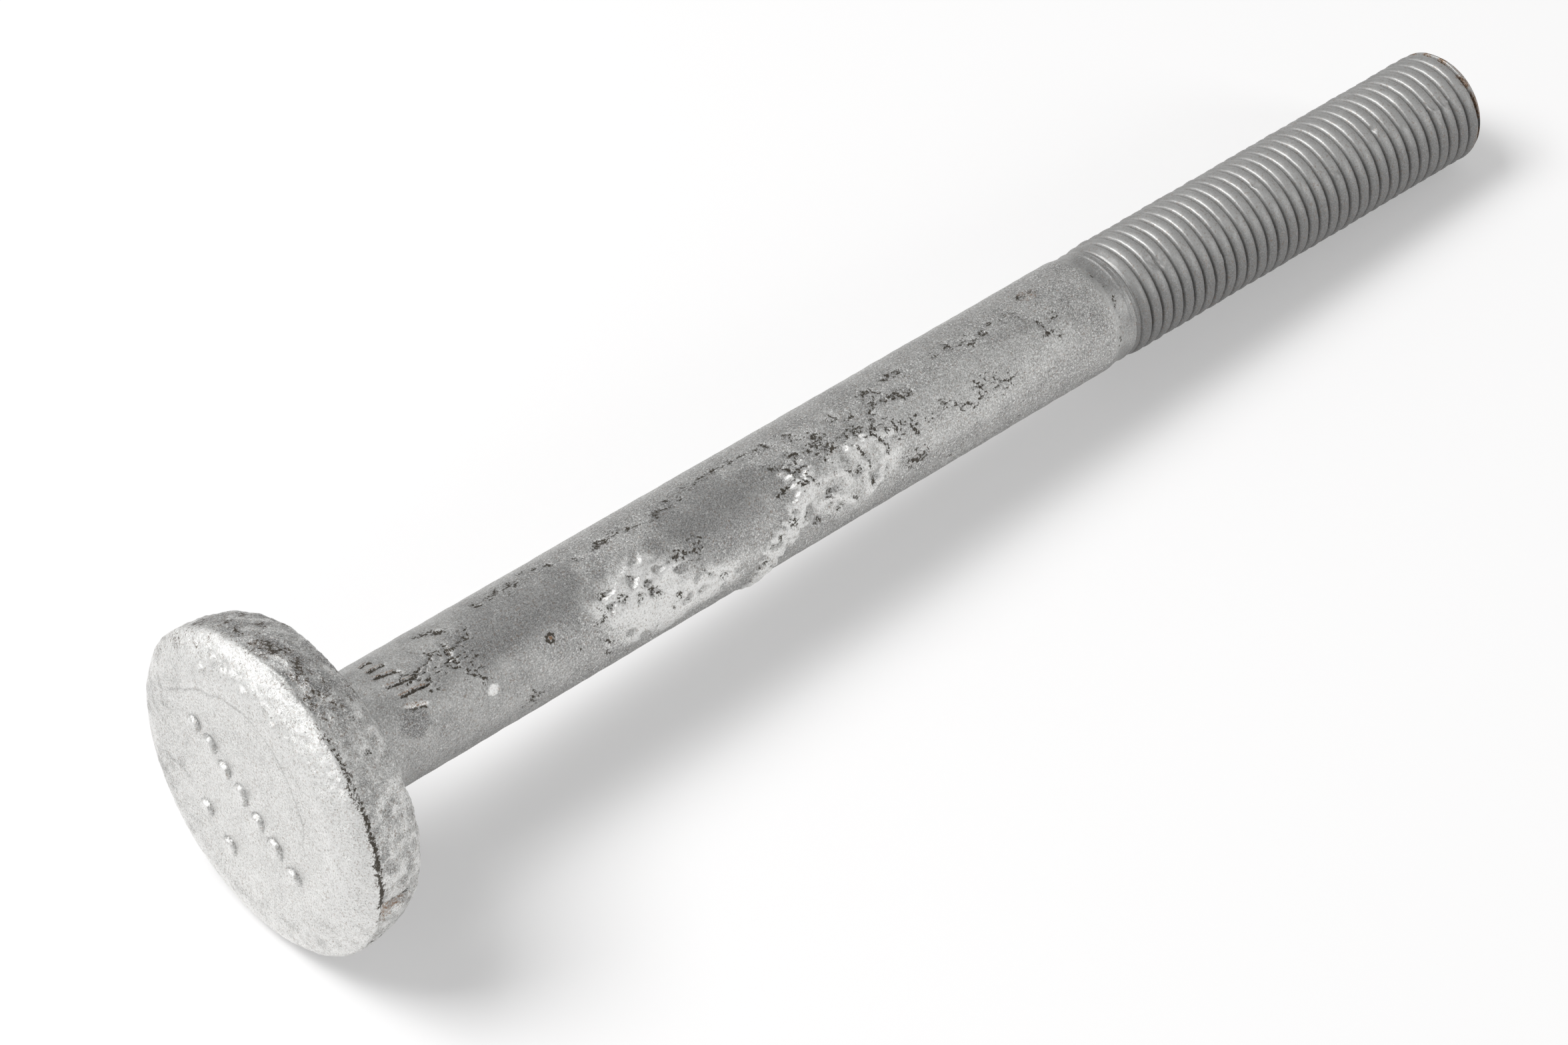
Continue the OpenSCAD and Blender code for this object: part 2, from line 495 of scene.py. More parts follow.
def head_stains(grid, zones):
    """Stains on the rim and the shoulder's edge, their flecks, and a smudge on the face."""
    points = grid.points
    blots = smooth(-0.25, 0.45, layered(points, 4.0, seed=52, layers=4))
    edge = smooth(HEAD_R - 3.75, HEAD_R - 1.75, grid.radius)
    stained = blots * zones.rim * (0.85 * arc_share(grid, STAINED_RIM) + 0.15)
    stained += 0.35 * blots * zones.front * arc_share(grid, STAINED_FRONT) * edge
    flecks = stained * veins(points, 1.3, seed=57, thin=0.4)
    outer = smooth(FACE_R - 8.55, FACE_R - 3.55, grid.radius)
    streaks = smooth(0.05, 0.5, layered(points * (1, 0.35, 1), 2.2, seed=54))
    smudge = 0.55 * streaks * zones.front * arc_share(grid, SMUDGED_FACE) * outer
    return stained, flecks, smudge


def head_coat(grid, zones, rough):
    """Slow dents from forging, then the uneven coat of zinc."""
    points = grid.points
    ripple = zones.shoulder * arc_share(grid, RIPPLED_SHOULDER)
    lift = 0.14 * layered(points, 12.0, seed=11) - 0.06
    lift -= FACE_SINK * zones.front * smooth(FACE_R + 2, FACE_R - 5, grid.radius)
    lift += 0.22 * rough * layered(points, 2.8, seed=12, layers=4)
    lift += 0.15 * rough * noise(points, 1.0, seed=14)
    lift += 0.13 * ripple * noise(points, 1.7, seed=62)
    return lift


def build_head(material):
    """The head with every mark on it."""
    turns = np.linspace(0, 360, HEAD_COLS, endpoint=False)
    grid = turned_grid(*head_outline(), turns)
    points = grid.points
    zones = head_zones(grid)
    front, shoulder, rim = zones.front, zones.shoulder, zones.rim

    rough = 0.35 + 0.65 * shoulder * arc_share(grid, ROUGH_SHOULDER) + 0.65 * rim
    wobble = 1 + 0.25 * noise(points, 1.6, seed=41)
    pip_lift, pip_tops, pip_feet = face_pips(grid, front, wobble)
    lump_lift, lump_feet = shoulder_lumps(grid, front, wobble)
    # The edge of the run gets a painted shadow line
    flow_lift, flow_shadow = zinc_flow(grid, front)
    # Dark feet round the pips and lumps: partly grime, partly painted shade
    foot_grime_and_shade = np.maximum(pip_feet, 0.5 * lump_feet)
    seam, step = rim_seam(grid)
    chip, spots, cracks = rim_marks(grid, rim)
    pore = pores(points, 2.2, seed=51, share=0.22, width=0.17)
    pore = np.maximum(pore, rim * pores(points, 1.9, seed=61, share=0.30, width=0.20))
    stained, flecks, smudge = head_stains(grid, zones)

    lift = head_coat(grid, zones, rough) + pip_lift + lump_lift + flow_lift
    lift -= SEAM_DEPTH * seam + RIM_STEP * step * rim
    lift -= RIM_CHIP_DEPTH * chip + RIM_SPOT_DEPTH * spots + RIM_CRACK_DEPTH * cracks
    lift -= HEAD_PORE_DEPTH * pore * rough

    mottle = (0.25 * front + 0.85 * shoulder + rim) * layered(points, 2.2, seed=55)
    blotch = rim * layered(points, 1.9, seed=60)
    flakes = veins(points, 1.3, seed=58, thin=0.3) * shoulder * arc_share(grid, FLAKY_SHOULDER)
    dark = 1.05 * seam + 0.85 * flecks + 0.8 * pore + 1.1 * cracks + 0.62 * spots
    # Light zinc on the face; painted light on a stretch of the shoulder
    bright = 0.56 * front + 0.50 * shoulder * arc_share(grid, SHOULDER_PAINTED_LIGHT) + 0.20 * pip_tops
    bright += 0.30 * rim * arc_share(grid, LIGHT_RIM) + 0.18 * layered(points, 9.0, seed=53)
    bright += 0.75 * mottle + 0.7 * flakes + 0.5 * blotch
    bright -= 0.6 * stained + 0.4 * smudge + 0.5 * foot_grime_and_shade + 0.45 * flow_shadow
    rust = 0.45 * chip + 0.65 * flecks + 0.60 * seam
    dull_and_shade = 0.55 * zones.back + 0.30 * rim + 0.40 * rim * arc_share(grid, DULL_RIM) + smudge
    dull_and_shade += 0.5 * stained + 0.8 * foot_grime_and_shade + 0.65 * flow_shadow - 0.6 * mottle * rim - 0.5 * blotch
    wear_and_shade = pack_wear_and_shade(np.clip(dark, 0, 1.2), np.clip(bright, 0, 1),
                     np.clip(rust, 0, 1), np.clip(dull_and_shade, 0, 1.1))
    grit = 0.9 + 0.4 * shoulder + 0.1 * np.maximum(rim, zones.back)
    turned_piece("bolt_head", grid, lift, wear_and_shade, grit, material)


# Shank

# Marks on the shank: paths of height from the underside and angle round the bolt
SCARS = [
    [(11.8, 157), (13.0, 156), (13.6, 159)], [(11.7, 168.7), (14.3, 170)],
    [(11.5, 179), (13.5, 181.5), (14.8, 183.5)],
    [(11.9, 193.4), (13.3, 194.5), (14.6, 195), (16.7, 198)],
    [(12.8, 206.5), (15.3, 207.3), (17.8, 209.6)]]
PALE_SCAR = [(12.5, 215.5), (13.8, 217.9), (15.1, 219.6), (15.8, 221.7)]
CRACKS = [
    [(15.5, 191), (16.1, 194.7), (17.2, 194.5), (17.2, 198.3), (18, 203), (18.4, 208)],
    [(17.4, 193.4), (20.1, 190), (21.4, 186.6), (22.8, 193), (25.1, 192.5), (26.1, 190.3)],
    [(18.0, 206.8), (19.0, 201), (19.3, 196.3)], [(33.6, 276), (34.2, 270.5)],
    [(23.6, 201.4), (25.2, 209.8), (26.6, 210.8)], [(25.7, 218), (26.6, 225)],
    [(24, 191), (26.5, 189), (28, 186)], [(88, 220), (91, 216), (91, 209), (93, 211)],
    [(87, 221), (89, 219), (92, 220)], [(97, 187), (98, 200), (99, 207), (102, 202), (104, 203)],
    [(104, 186), (106, 194)], [(105, 206), (108, 212), (110, 202)], [(100, 203), (98, 217)],
    [(111, 213), (112, 223), (116, 229), (120, 226)], [(122, 229), (125, 232), (128, 238), (134, 236)],
    [(130, 226), (133, 231), (137, 238)], [(113, 256), (116, 262), (115, 254)], [(91, 204), (93, 213)],
    [(20, 199), (23, 203), (25, 200)], [(66, 222), (69, 226), (70, 217)]]
PIT_CHAINS = [
    [(89, 196), (94, 194), (98, 200)], [(134, 187), (137, 184)], [(147, 206), (150, 209)],
    [(52, 176), (57, 172), (61, 172)], [(62, 178), (65, 179), (68, 176)],
    [(70, 175), (75, 168), (79, 165), (83, 165)], [(85, 169), (88, 172), (92, 171)],
    [(95, 173), (98, 185), (100, 196)], [(34, 162), (39, 160), (42, 165)], [(37, 161), (39, 174)],
    [(44, 152), (48, 166)], [(111, 171), (114, 188)], [(116, 172), (120, 177)],
    [(127, 179), (130, 178)], [(132, 178), (134, 180)], [(139, 180), (141, 186)],
    [(142, 174), (144, 187)], [(147, 217), (149, 223)], [(111, 187), (118, 198)],
    [(148, 170), (150.5, 175)], [(23, 158), (26, 174)], [(50, 228), (48, 251), (50, 272)]]
# Noise between which a line of marks is broken up
CRACK_GAPS = (-0.3, 0.1)
PIT_GAPS = (-0.4, 0.1)
RING_GAPS = (-0.1, 0.2)
RING_PITS = [(160.8, 190), (162.0, 211), (161.2, 235), (160.6, 274)]
# Single pits, as height, angle and size
SMALL_PITS = [
    (26, 224, 0.5), (26, 214, 0.5), (31, 258, 0.5), (34, 272, 0.5), (144, 200, 0.45), (122, 280, 0.6),
    (138, 285, 0.7), (114, 258, 0.5), (44, 251, 0.4), (69, 214, 0.5)]
# Zinc that ran together: a diagonal fold, the ridges on it, and hollows in it and in the smear
FOLD = [(81, 306), (83.6, 267), (89.1, 247), (91.9, 230), (92.5, 215)]
FOLD_RIDGES = [
    [(106.5, 213), (108.5, 233), (106.6, 256), (104.1, 264)],
    [(102.7, 216), (104.2, 237), (103.6, 260)], [(93.3, 249), (97.2, 248), (100.4, 263)],
    [(103.9, 220), (107.2, 219), (111.7, 220)], [(96.3, 228), (99.6, 231), (100.5, 242)],
    [(89.9, 207), (92.4, 220), (93.8, 231)]]
SMEAR_HOLLOWS = [(51, 219), (54, 229), (57, 236), (60, 241), (64, 254), (70, 226), (73, 262)]
FOLD_HOLLOWS = [(82, 274), (85, 258), (88, 248), (93, 262), (98, 262), (96, 243), (103, 238)]
# Patches, as middle in height and angle, half the length and half the turn
SMEAR = ((56.5, 232), 8.0, 26)
SMEAR_TAIL = ((64.0, 262), 12.0, 18)
TORN_FIELD = ((101, 240), 10.5, 30)
# The peeled patch is painted lighter and less dull: a painted sheen over its fine bumps
PEELED = ((128, 228), 25, 30)
CALM = [((38, 195), 15, 26), ((76, 205), 12, 34)]
FAR_RUN = [((72, 30), 13, 28), ((122, 75), 8, 22)]
DULL_DISC = ((12.6, 230), 2.4, 13)
WHITE_SPOT = ((27.2, 241.5), 0.95, 5.4)
RUST_SPOT = ((39.6, 227.5), 0.45, 2.6)
RUST_SPOT_RING = ((39.6, 227.5), 0.85, 4.8)
BROWN_STAIN = ((149, 172), 2.0, 8)
SPECKLED = ((24, 200), 8, 25)
# Stretches of the shank's turn, as start, end and softness in degrees
FAR_SIDE = (-40, 118, 14)
# The underside is painted duller and darker: painted shade
UNDERSIDE_SHADE = (284, 345, 22)
# Heights between which the far marks begin, and between which the coat grows even near the head
FAR_MARKS_START = (8, 12)
EVEN_NEAR_HEAD = (50, 30)
# A fine ridge round the neck
NECK_RIDGE_Z = 163.9
NECK_RIDGE_WIDTH = 0.22
NECK_RIDGE_HEIGHT = 0.14


class Relief:
    """How far a surface stands out, and how dark and rusty it is."""

    def __init__(self, shape):
        self.lift, self.dark, self.rust = np.zeros((3,) + shape)

    def add(self, share, lift=0.0, dark=0.0, rust=0.0):
        """Lays a mark on the surface. Share is 1 in the mark and 0 outside it."""
        self.lift += lift * share
        self.dark = np.maximum(self.dark, dark * share)
        self.rust = np.maximum(self.rust, rust * share)


def shank_outline():
    """The shank's outline: fillet, plain length, taper and neck."""
    a = np.radians(np.linspace(0, 90, FILLET_RINGS))
    fillet_r = SHANK_R + FILLET_R * (1 - np.sin(a))
    fillet_z = FILLET_R * (1 - np.cos(a))
    plain_z = np.linspace(FILLET_R, TAPER_Z - 2, SHANK_RINGS - NECK_RINGS)
    body_z = np.concatenate([plain_z[1:], np.linspace(TAPER_Z - 2, THREAD_Z, NECK_RINGS + 1)[1:]])
    drop = (SHANK_R - NECK_R) * smooth(TAPER_Z + 0.5, NECK_Z - 0.5, body_z)
    drop = drop - NECK_RIDGE_HEIGHT * np.exp(-((body_z - NECK_RIDGE_Z) / NECK_RIDGE_WIDTH) ** 2)
    return (np.concatenate([[SHANK_R + FILLET_R], fillet_r, SHANK_R - drop]),
            np.concatenate([[-0.4], fillet_z, body_z]))


def fold_ridges(grid):
    """The ridges on the fold, and a painted shadow along the upper side of each."""
    ridges, crease = np.zeros((2,) + grid.z.shape)
    for number, path in enumerate(FOLD_RIDGES):
        ridges = np.maximum(ridges, ragged_path(grid, path, width=0.8, seed=250 + number))
        # A dark line shifted to the upper side of each ridge: painted shadow
        side = ragged_path(grid, path, width=0.5, seed=260 + number, gaps=CRACK_GAPS, shift=(1.1, 0.0))
        crease = np.maximum(crease, side * (1 - ridges))
    return ridges, crease


def shank_zones(grid):
    """Where the shank's zinc is smeared, folded, torn, peeled or calm."""
    zones = SimpleNamespace()
    smear_tail = 0.8 * region(grid, *SMEAR_TAIL, seed=62, feather=1.0)
    zones.smear = np.maximum(region(grid, *SMEAR, seed=61, feather=1.0), smear_tail)
    zones.fold = ragged_path(grid, FOLD, width=2.8, seed=63)
    zones.ridges, zones.crease = fold_ridges(grid)
    zones.peel = region(grid, *PEELED, seed=65) * smooth(TAPER_Z - 3, TAPER_Z - 9, grid.z)
    zones.calm = patches(grid, CALM, seed=66, feather=1.0)
    torn = region(grid, *TORN_FIELD, seed=64)
    far_run = patches(grid, FAR_RUN, seed=59)
    zones.run = np.clip(1.2 * zones.smear + 1.2 * zones.fold + 0.55 * torn + 0.5 * far_run, 0, 1.3)
    zones.lumps = smooth(-0.25, 0.35, pebbles(grid.points * (1, 1, 0.8), 2.6, seed=24))
    return zones


def shank_coat(grid, zones):
    """How far the zinc stands out, before any cracks and pits."""
    points = grid.points
    lift = 0.03 * layered(points * (1, 1, 0.4), 9.0, seed=21)
    lift += 0.06 * (1 - 0.8 * zones.calm) * layered(points, 2.6, seed=22, layers=4)
    lift += 0.06 * zones.peel * noise(points, 1.5, seed=23)
    lift += 0.22 * zones.fold + 0.32 * zones.ridges + 0.05 * zones.smear
    lift += zones.run * (0.52 * zones.lumps - 0.24)
    lift += 0.16 * zones.run * noise(points, 1.1, seed=25)
    return lift


def add_cracks(grid, relief, fine_veins):
    """Cracks with a lace of fine veins beside them, and chains of pits."""
    long_veins = veins(grid.points * (1, 1, 0.5), 1.2, seed=93, thin=0.30)
    for number, path in enumerate(CRACKS):
        core = ragged_path(grid, path, width=0.30, seed=70 + number, gaps=CRACK_GAPS)
        lace = ragged_path(grid, path, width=2.2, seed=90 + number) * fine_veins
        relief.add(np.maximum(0.8 * core, lace), lift=-0.14, dark=0.95)
    for number, path in enumerate(PIT_CHAINS):
        pits = ragged_path(grid, path, width=1.5, seed=110 + number, gaps=PIT_GAPS)
        relief.add(pits * (0.30 + 0.70 * long_veins), lift=-0.14, dark=0.88)


def add_pits(grid, relief):
    """Pits round the taper, single pits, hollows in the run zinc with painted shade in them, pores and
    speckles.
    """
    ring_pits = ragged_path(grid, RING_PITS, width=0.5, seed=150, gaps=RING_GAPS)
    relief.add(ring_pits, lift=-0.05, dark=0.6)
    for number, (z, phi, size) in enumerate(SMALL_PITS):
        relief.add(ragged_path(grid, [(z, phi)], size, 160 + number), lift=-0.18, dark=0.6)
    # The hollows are painted dark: painted shade
    for number, spot in enumerate(SMEAR_HOLLOWS + FOLD_HOLLOWS):
        relief.add(ragged_path(grid, [spot], width=1.3, seed=180 + number), lift=-0.42, dark=0.60)
    pore = pores(grid.points, 2.4, seed=214, share=0.22, width=0.14)
    speckle = pores(grid.points, 1.3, seed=216, share=0.5, width=0.22)
    relief.add(pore, lift=-0.12, dark=0.75)
    relief.add(speckle * region(grid, *SPECKLED, seed=215), dark=0.75)


def add_scars(grid, relief):
    """Scars near the head: a raised lip beside a dark slit."""
    for number, path in enumerate(SCARS):
        slit = ragged_path(grid, path, width=0.30, seed=200 + number)
        lip = ragged_path(grid, path, width=0.26, seed=205 + number, shift=(0.0, -2.4))
        relief.add(lip, lift=0.16)
        relief.add(slit, lift=-0.22, dark=1.15)
        relief.add(lip * (1 - slit), rust=0.55)


def add_spots(grid, relief):
    """The rust spot in its dark ring, and the brown stain near the neck."""
    rust_spot = region(grid, *RUST_SPOT, seed=211)
    relief.add(rust_spot, rust=0.8)
    relief.add(region(grid, *RUST_SPOT_RING, seed=219) * (1 - rust_spot), dark=1.1)
    relief.add(region(grid, *BROWN_STAIN, seed=213), rust=0.34)


def add_far_veins(grid, relief):
    """The side away from the photograph: the same kinds of marks, laid by noise."""
    points = grid.points
    away = arc_share(grid, FAR_SIDE) * smooth(*FAR_MARKS_START, grid.z)
    away *= smooth(TAPER_Z - 1, TAPER_Z - 5, grid.z)
    vein = smooth(0.07, 0.0, np.abs(noise(points * (1, 1, 0.6), 4.5, seed=27)))
    vein *= smooth(0.0, 0.3, noise(points, 9.0, seed=28)) * smooth(-0.2, 0.2, noise(points, 1.3, seed=29))
    relief.add(away * vein, lift=-0.10, dark=0.85)


def shank_wear_and_shade(grid, zones, relief, pale):
    """The shank's wear with painted light and shade: dark, bright, rust and dull."""
    points, run, lumps = grid.points, zones.run, zones.lumps
    patchy = 0.6 + 0.6 * layered(points, 3.5, seed=26)
    white_spot = region(grid, *WHITE_SPOT, seed=212)
    neck = smooth(TAPER_Z + 1.6, TAPER_Z + 2.4, grid.z + 0.35 * noise(points, 2.5, seed=220))
    # Painted shade on the underside, outside the run zinc
    under_shade = arc_share(grid, UNDERSIDE_SHADE) * np.clip(1 - run, 0, 1)
    # The run zinc is lighter, and its lumps get painted highlights
    bright = run * patchy * (0.10 + lumps) + (0.75 * zones.smear + 0.8 * zones.fold) * lumps
    # Painted highlights on the fold's ridges, and a painted sheen on the peeled patch
    bright += 0.8 * zones.ridges + 0.22 * zones.peel * patchy
    bright += 1.2 * white_spot + 0.9 * pale - 0.3 * zones.calm
    dull_and_shade = 0.3 * neck + 0.5 * under_shade + 0.66
    dull_and_shade += (0.55 + 0.25 * layered(points, 4.0, seed=68)) * zones.calm
    # The hollows between the lumps stay duller, a painted shade; the peeled patch is less dull, a painted
    # sheen
    dull_and_shade += 0.7 * region(grid, *DULL_DISC, seed=218) - 0.6 * run * lumps - 0.32 * zones.peel
    return pack_wear_and_shade(np.clip(relief.dark, 0, 1.2), np.clip(bright, 0, 1) * (1 - neck),
                     np.clip(relief.rust, 0, 1), np.clip(dull_and_shade, 0, 1.3))


def build_shank(material):
    """The shank and neck with every mark on them."""
    turn = np.linspace(-1, 1, SHANK_COLS, endpoint=False)
    turn = turn - FINE_SIDE_GAIN * np.sin(np.pi * turn) / np.pi
    grid = turned_grid(*shank_outline(), FINE_SIDE + 180 * turn)
    zones = shank_zones(grid)
    relief = Relief(grid.z.shape)
    fine_veins = veins(grid.points, 1.3, seed=91)

    relief.lift += shank_coat(grid, zones)
    add_cracks(grid, relief, fine_veins)
    add_pits(grid, relief)
    add_scars(grid, relief)
    add_spots(grid, relief)
    add_far_veins(grid, relief)
    pale = ragged_path(grid, PALE_SCAR, width=0.55, seed=210)
    relief.add(pale, lift=0.12, rust=0.45)
    pale_edge = ragged_path(grid, PALE_SCAR, width=0.3, seed=217, shift=(0.0, 3.2))
    relief.add(pale_edge, dark=0.8)
    # Painted shade: dark veins in the hollows between the lumps
    relief.add(zones.run * (1 - zones.lumps) * (1 - zones.ridges) * fine_veins, dark=0.8)
    # The painted shadow beside the fold's ridges
    relief.add(zones.crease, dark=0.8)

    # The ends run into the head and the thread without a step
    ends = smooth(0.2, 2.5, grid.z) * smooth(THREAD_Z, THREAD_Z - 1.5, grid.z)
    grit = 1 - 0.75 * smooth(TAPER_Z, TAPER_Z + 1.5, grid.z)
    grit -= 0.45 * smooth(*EVEN_NEAR_HEAD, grid.z) * (1 - zones.calm) + 0.62 * zones.calm
    turned_piece("bolt_shank", grid, relief.lift * ends, shank_wear_and_shade(grid, zones, relief, pale),
                 np.clip(grit, EVEN_GRIT, 1), material)


# Thread

# Zinc fills the bottom of the grooves by this much
ZINC_FILL = 0.25
# Lumps and dents on the crests, as height, angle, size and how far they stand out
THREAD_MARKS = [
    (240.5, 221, 1.2, 0.35), (243.0, 219, 0.8, 0.3), (238.5, 219, 0.9, 0.3), (172.5, 208, 1.6, -0.35),
    (173.5, 214, 1.2, -0.25), (186.0, 240, 1.0, 0.25), (199.0, 196, 0.9, -0.25),
    (214.0, 228, 1.1, 0.25), (226.0, 205, 0.9, -0.3)]
THREAD_PORE_DEPTH = 0.12
# The thread starts a little inside the neck, and its points within a hair of an end join it
START_Z = THREAD_Z - 0.4
START_R = NECK_R - 0.2
END_GAP = 0.05
# Whole turns below the chamfer and above it
LOW_TURNS = math.ceil((CHAMFER_Z - THREAD_Z) / PITCH) + 1
HIGH_TURNS = math.ceil(TIP_CHAMFER_H / PITCH) + 1
LINE_COUNT = LINES_PER_TURN * (LOW_TURNS + HIGH_TURNS)
# Stretches of the thread's turn, as start, end and softness in degrees
# A stretch of crests painted lighter: a painted highlight
THREAD_CREST_HIGHLIGHT = (150, 222, 20)
# The underside of the thread is painted darker: painted shade
THREAD_UNDERSIDE_SHADE = (240, 338, 40)
BROWN_TIP = (110, 290, 30)


def line_place(n):
    """Where line n lies within its turn: the lines gather near the groove."""
    part = n / LINES_PER_TURN
    return part + 0.5 * np.sin(2 * np.pi * part) / (2 * np.pi)


def groove_form(turn_part):
    """0 on a crest and 1 at the root: wide rounded crests and narrow grooves."""
    from_crest = np.abs((turn_part + 0.5) % 1.0 - 0.5)
    crest = 0.17 * (from_crest / 0.38) ** 2.0
    wall = smooth(0.36, 0.5, from_crest)
    return crest + (1 - crest) * wall


def thread_grid():
    """The thread's lines as a helix, with their groove and how far it has faded in."""
    n, j = np.meshgrid(np.arange(LINE_COUNT + 1), np.arange(THREAD_COLS), indexing="ij")
    z = CHAMFER_Z + PITCH * (j / THREAD_COLS + line_place(n) - LOW_TURNS)
    groove = groove_form(line_place(n))
    fade = smooth(-0.1, 0.65, (z - THREAD_Z) / RUN_OUT)
    full = THREAD_R - (GROOVE_DEPTH - ZINC_FILL) * groove
    past = np.maximum(0, z - CHAMFER_Z) / TIP_CHAMFER_H
    tip_limit = THREAD_R - TIP_CHAMFER_W * past ** 1.6
    radius = np.minimum(NECK_R + (full - NECK_R) * fade, tip_limit)
    grid = make_grid(radius, z, 360.0 * j / THREAD_COLS)
    grid.groove, grid.fade = groove, fade
    return grid


def thread_lift(grid, pore):
    """Uneven zinc, pores, and the lumps and dents on the crests."""
    lift = 0.07 * layered(grid.points, 5.0, seed=31)
    lift += 0.06 * layered(grid.points, 1.8, seed=32, layers=2) - 0.03
    lift -= THREAD_PORE_DEPTH * pore
    for number, (z, phi, size, height) in enumerate(THREAD_MARKS):
        mark = ragged_path(grid, [(z, phi)], size, 230 + number)
        lift += height * mark * (1 - grid.groove)
    return lift * smooth(0.0, 1.0, grid.z - THREAD_Z)


def thread_wear_and_shade(grid, pore):
    """The thread's wear with painted light and shade: brown tip, painted light in the roots with a little
    painted shade at the groove bottoms, a painted highlight along a stretch of crests, and painted shade
    on the underside.
    """
    groove, fade = grid.groove, grid.fade
    tip_brown = smooth(CHAMFER_Z - 0.9, CHAMFER_Z + 0.3, grid.z)
    tip_brown = tip_brown * smooth(-0.35, 0.15, noise(grid.points, 2.2, seed=34))
    # Painted light in the groove roots, against their shade; the very bottoms get a little painted shade
    root = smooth(0.55, 1.0, groove) * fade
    dark = 0.55 * pore + 0.1 * smooth(0.7, 1.0, groove) * fade + 0.3 * tip_brown
    # Painted highlight along a stretch of crests, and painted light in the roots
    bright = 0.24 * (1 - groove) * fade * arc_share(grid, THREAD_CREST_HIGHLIGHT) + 0.45 * root
    rust = 0.75 * tip_brown * arc_share(grid, BROWN_TIP)
    # Painted shade: the dull share rises past 1 on the underside
    dull_and_shade = 1.12 + arc_share(grid, THREAD_UNDERSIDE_SHADE) - 0.45 * root
    return pack_wear_and_shade(np.clip(dark, 0, 1), np.clip(bright, 0, 1), np.clip(rust, 0, 1), dull_and_shade)


def tip_face(ring_phi):
    """Rings over the bolt's end face: a cut face under an uneven coat of zinc."""
    share = np.linspace(0.96, 0.05, TIP_RINGS)[:, None]
    radius = TIP_R * share + 0 * ring_phi
    phi = 0 * share + ring_phi
    points = make_grid(radius, np.full(radius.shape, BOLT_LEN), phi).points
    saw_lines = noise(points * (1, 0.12, 1), 1.2, seed=35)
    lift = 0.10 * layered(points, 3.5, seed=36) + 0.06 * saw_lines - 0.22
    coat = veins(points, 4.0, seed=37, thin=0.3)
    wear_and_shade = pack_wear_and_shade(0.7 * pores(points, 1.6, seed=38, share=0.3, width=0.25) + 0.35 * coat, 0.0,
                     0.6 * coat * smooth(0.5, 0.9, share), 0.75 + 0.25 * saw_lines)
    return place(radius, BOLT_LEN + lift, phi), np.clip(wear_and_shade, 0, 1)


def thread_triangles(z):
    """Triangles between the lines, whose points come after the start ring and the end ring."""
    rows, cols = np.indices(z.shape)
    index = (rows + 2) * THREAD_COLS + cols
    index = np.where(z >= BOLT_LEN - END_GAP, THREAD_COLS + cols, index)
    index = np.where(z <= START_Z + END_GAP, cols, index)
    # After a full turn a line goes on as the line one turn higher
    last = np.full(LINE_COUNT + 1, THREAD_COLS)
    last[:LINE_COUNT + 1 - LINES_PER_TURN] = index[LINES_PER_TURN:, 0]
    index = np.hstack([index, last[:, None]])
    a, b = index[:-1, :-1], index[:-1, 1:]
    c, d = index[1:, 1:], index[1:, :-1]
    triangles = np.moveaxis(np.array([[a, b, c], [a, c, d]]), 1, -1).reshape(-1, 3)
    real = np.all(triangles != np.roll(triangles, 1, axis=1), axis=1)
    return triangles[real].tolist()


def tip_faces(first_cap):
    """Rings of quads over the end face, from the end ring inwards, and a face in their middle."""
    faces = []
    ring = list(range(THREAD_COLS, 2 * THREAD_COLS))
    for number in range(TIP_RINGS):
        start = first_cap + number * THREAD_COLS
        inner = list(range(start, start + THREAD_COLS))
        for i in range(THREAD_COLS):
            k = (i + 1) % THREAD_COLS
            faces.append([ring[i], ring[k], inner[k], inner[i]])
        ring = inner
    return faces + [ring]


def build_thread(material):
    """The thread, one closed surface from a ring inside the neck to the end face."""
    grid = thread_grid()
    pore = pores(grid.points, 2.2, seed=33, share=0.12, width=0.18) * (1 - grid.groove)
    ring_phi = np.arange(THREAD_COLS) * 360.0 / THREAD_COLS
    start_ring = place(START_R + 0 * ring_phi, START_Z + 0 * ring_phi, ring_phi)
    end_ring = place(TIP_R + 0 * ring_phi, BOLT_LEN + 0 * ring_phi, ring_phi)
    lines = place(grid.radius + thread_lift(grid, pore), grid.z, grid.phi)
    tip_points, tip_wear = tip_face(ring_phi)
    points = np.vstack([start_ring, end_ring, lines.reshape(-1, 3), tip_points.reshape(-1, 3)])
    end_wear = pack_wear_and_shade(0.0, 0.0, 0.0, np.full(2 * THREAD_COLS, 0.8))
    wear_and_shade = np.vstack([end_wear, thread_wear_and_shade(grid, pore).reshape(-1, 4), tip_wear.reshape(-1, 4)])

    faces = thread_triangles(grid.z)
    faces.append(list(range(THREAD_COLS - 1, -1, -1)))
    faces.extend(tip_faces(len(points) - TIP_RINGS * THREAD_COLS))

    # Only the points that a face uses stay
    used = np.zeros(len(points), dtype=bool)
    for face in faces:
        used[face] = True
    renumber = np.cumsum(used) - 1
    faces = [[int(renumber[v]) for v in face] for face in faces]
    grit = np.full(int(used.sum()), EVEN_GRIT)
    make_piece("bolt_thread", points[used], faces, wear_and_shade[used], grit, material)


# Nodes of the materials

BLACK = (0.0, 0.0, 0.0)
WHITE = (1.0, 1.0, 1.0)


def new_material(name):
    """An empty node material, its tree and the place of the shaded point."""
    material = bpy.data.materials.new(name)
    material.use_nodes = True
    tree = material.node_tree
    tree.nodes.clear()
    return material, tree, add_node(tree, "TexCoord").outputs["Object"]


def finish_material(tree, shader):
    """Shows a shader on the surface."""
    add_node(tree, "OutputMaterial", {"Surface": shader})


